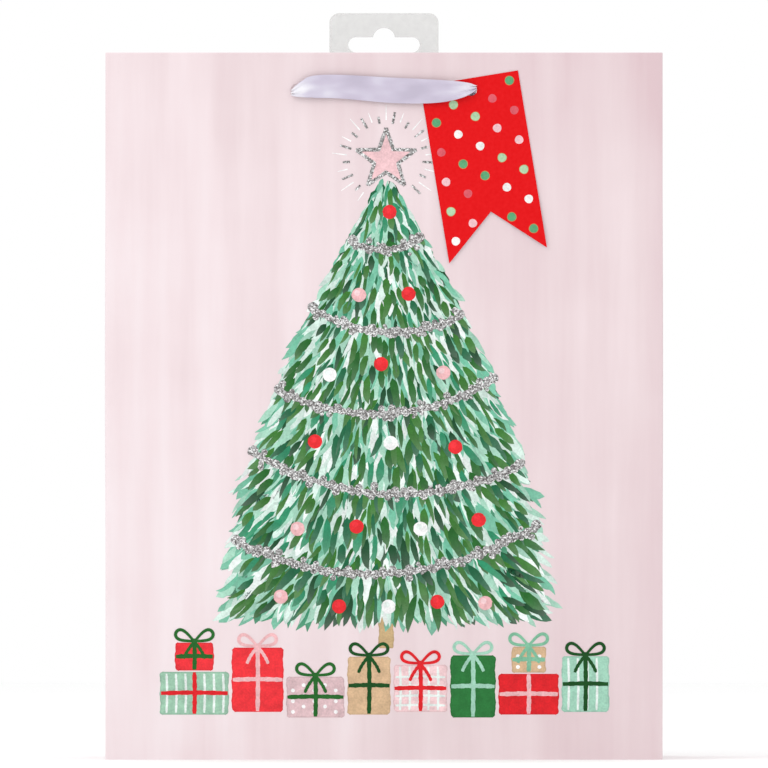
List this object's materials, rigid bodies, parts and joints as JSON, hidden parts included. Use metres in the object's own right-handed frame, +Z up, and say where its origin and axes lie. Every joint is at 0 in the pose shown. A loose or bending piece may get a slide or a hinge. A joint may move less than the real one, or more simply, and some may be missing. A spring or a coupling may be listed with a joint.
{
  "type": "gift bag",
  "caption": "Upright paper gift bag with gusseted sides that fold flat, a folding base, ribbon handles, a swallow-tailed swing tag and a clear hang tab.",
  "frame": {"origin": "under the middle of the base, on the surface the open bag stands on", "axes": "+Z up, the decorated front faces -Y, +X to the right seen from the front"},
  "size_m": [0.26, 0.1334, 0.3502],
  "materials": {
    "printed_paper": "coated art paper with a pale pink wash and a printed tree and presents, satin",
    "white_paper": "uncoated white back of the printed sheet",
    "grey_card": "grey-white recycled board",
    "satin_ribbon": "pale lavender satin ribbon",
    "red_card": "red printed tag card with coloured dots",
    "clear_film": "clear polyester hang tab film",
    "clear_adhesive": "clear pressure-sensitive adhesive"
  },
  "bodies": {
    "front_panel": {"front_panel": "printed_paper", "front_top_hem": "printed_paper", "front_stiffener_card": "grey_card", "front_handle_ribbon": "satin_ribbon", "front_left_knot": "satin_ribbon", "front_right_knot": "satin_ribbon"},
    "left_gusset_front": {"left_gusset_front": "printed_paper", "left_hem_front": "printed_paper"},
    "left_gusset_rear": {"left_gusset_rear": "printed_paper", "left_hem_rear": "printed_paper"},
    "right_gusset_front": {"right_gusset_front": "printed_paper", "right_hem_front": "printed_paper"},
    "right_gusset_rear": {"right_gusset_rear": "printed_paper", "right_hem_rear": "printed_paper"},
    "back_panel": {"back_panel": "printed_paper", "back_top_hem": "printed_paper", "back_stiffener_card": "grey_card", "side_glue_flap": "white_paper", "hang_tab": "clear_film", "hang_tab_adhesive": "clear_adhesive", "back_handle_ribbon": "satin_ribbon", "back_left_knot": "satin_ribbon", "back_right_knot": "satin_ribbon"},
    "base": {"bottom_rear_flap": "printed_paper", "bottom_front_flap": "printed_paper", "left_dust_flap": "white_paper", "right_dust_flap": "white_paper", "base_board": "grey_card", "left_gusset_lower": "printed_paper", "right_gusset_lower": "printed_paper", "back_panel_lower": "printed_paper"},
    "gift_tag": {"gift_tag": "red_card"}
  },
  "joints": [
    {"name": "left_front_crease", "type": "hinge", "parent": "front_panel", "child": "left_gusset_front", "pos_m": [-0.12875, -0.06225, 0.18], "axis": [0, 0, -1], "range_deg": [0, 88]},
    {"name": "left_middle_crease", "type": "hinge", "parent": "left_gusset_front", "child": "left_gusset_rear", "pos_m": [-0.13012, 0, 0.18], "axis": [0, 0, 1], "range_deg": [0, 176]},
    {"name": "fold_flat", "type": "hinge", "parent": "left_gusset_rear", "child": "back_panel", "pos_m": [-0.12875, 0.06225, 0.18], "axis": [0, 0, -1], "range_deg": [0, 88]},
    {"name": "right_front_crease", "type": "hinge", "parent": "front_panel", "child": "right_gusset_front", "pos_m": [0.12875, -0.06225, 0.18], "axis": [0, 0, 1], "range_deg": [0, 88]},
    {"name": "right_middle_crease", "type": "hinge", "parent": "right_gusset_front", "child": "right_gusset_rear", "pos_m": [0.13012, 0, 0.18], "axis": [0, 0, -1], "range_deg": [0, 176]},
    {"name": "base_fold", "type": "hinge", "parent": "back_panel", "child": "base", "pos_m": [0, -0.0023, 0.06918], "axis": [1, 0, 0], "range_deg": [0, 83], "deforming": ["left_gusset_lower", "right_gusset_lower", "back_panel_lower"]},
    {"name": "tag_swing", "type": "hinge", "parent": "front_panel", "child": "gift_tag", "pos_m": [0.0406, -0.0639, 0.3125], "axis": [0, 1, 0], "range_deg": [-80, 80]}
  ],
  "couplings": [
    {"joint": "left_middle_crease", "follows": "fold_flat", "ratio": 2},
    {"joint": "left_front_crease", "follows": "fold_flat", "ratio": 1},
    {"joint": "right_front_crease", "follows": "fold_flat", "ratio": 1},
    {"joint": "right_middle_crease", "follows": "fold_flat", "ratio": 2},
    {"joint": "base_fold", "follows": "fold_flat", "ratio": 0.94318}
  ]
}
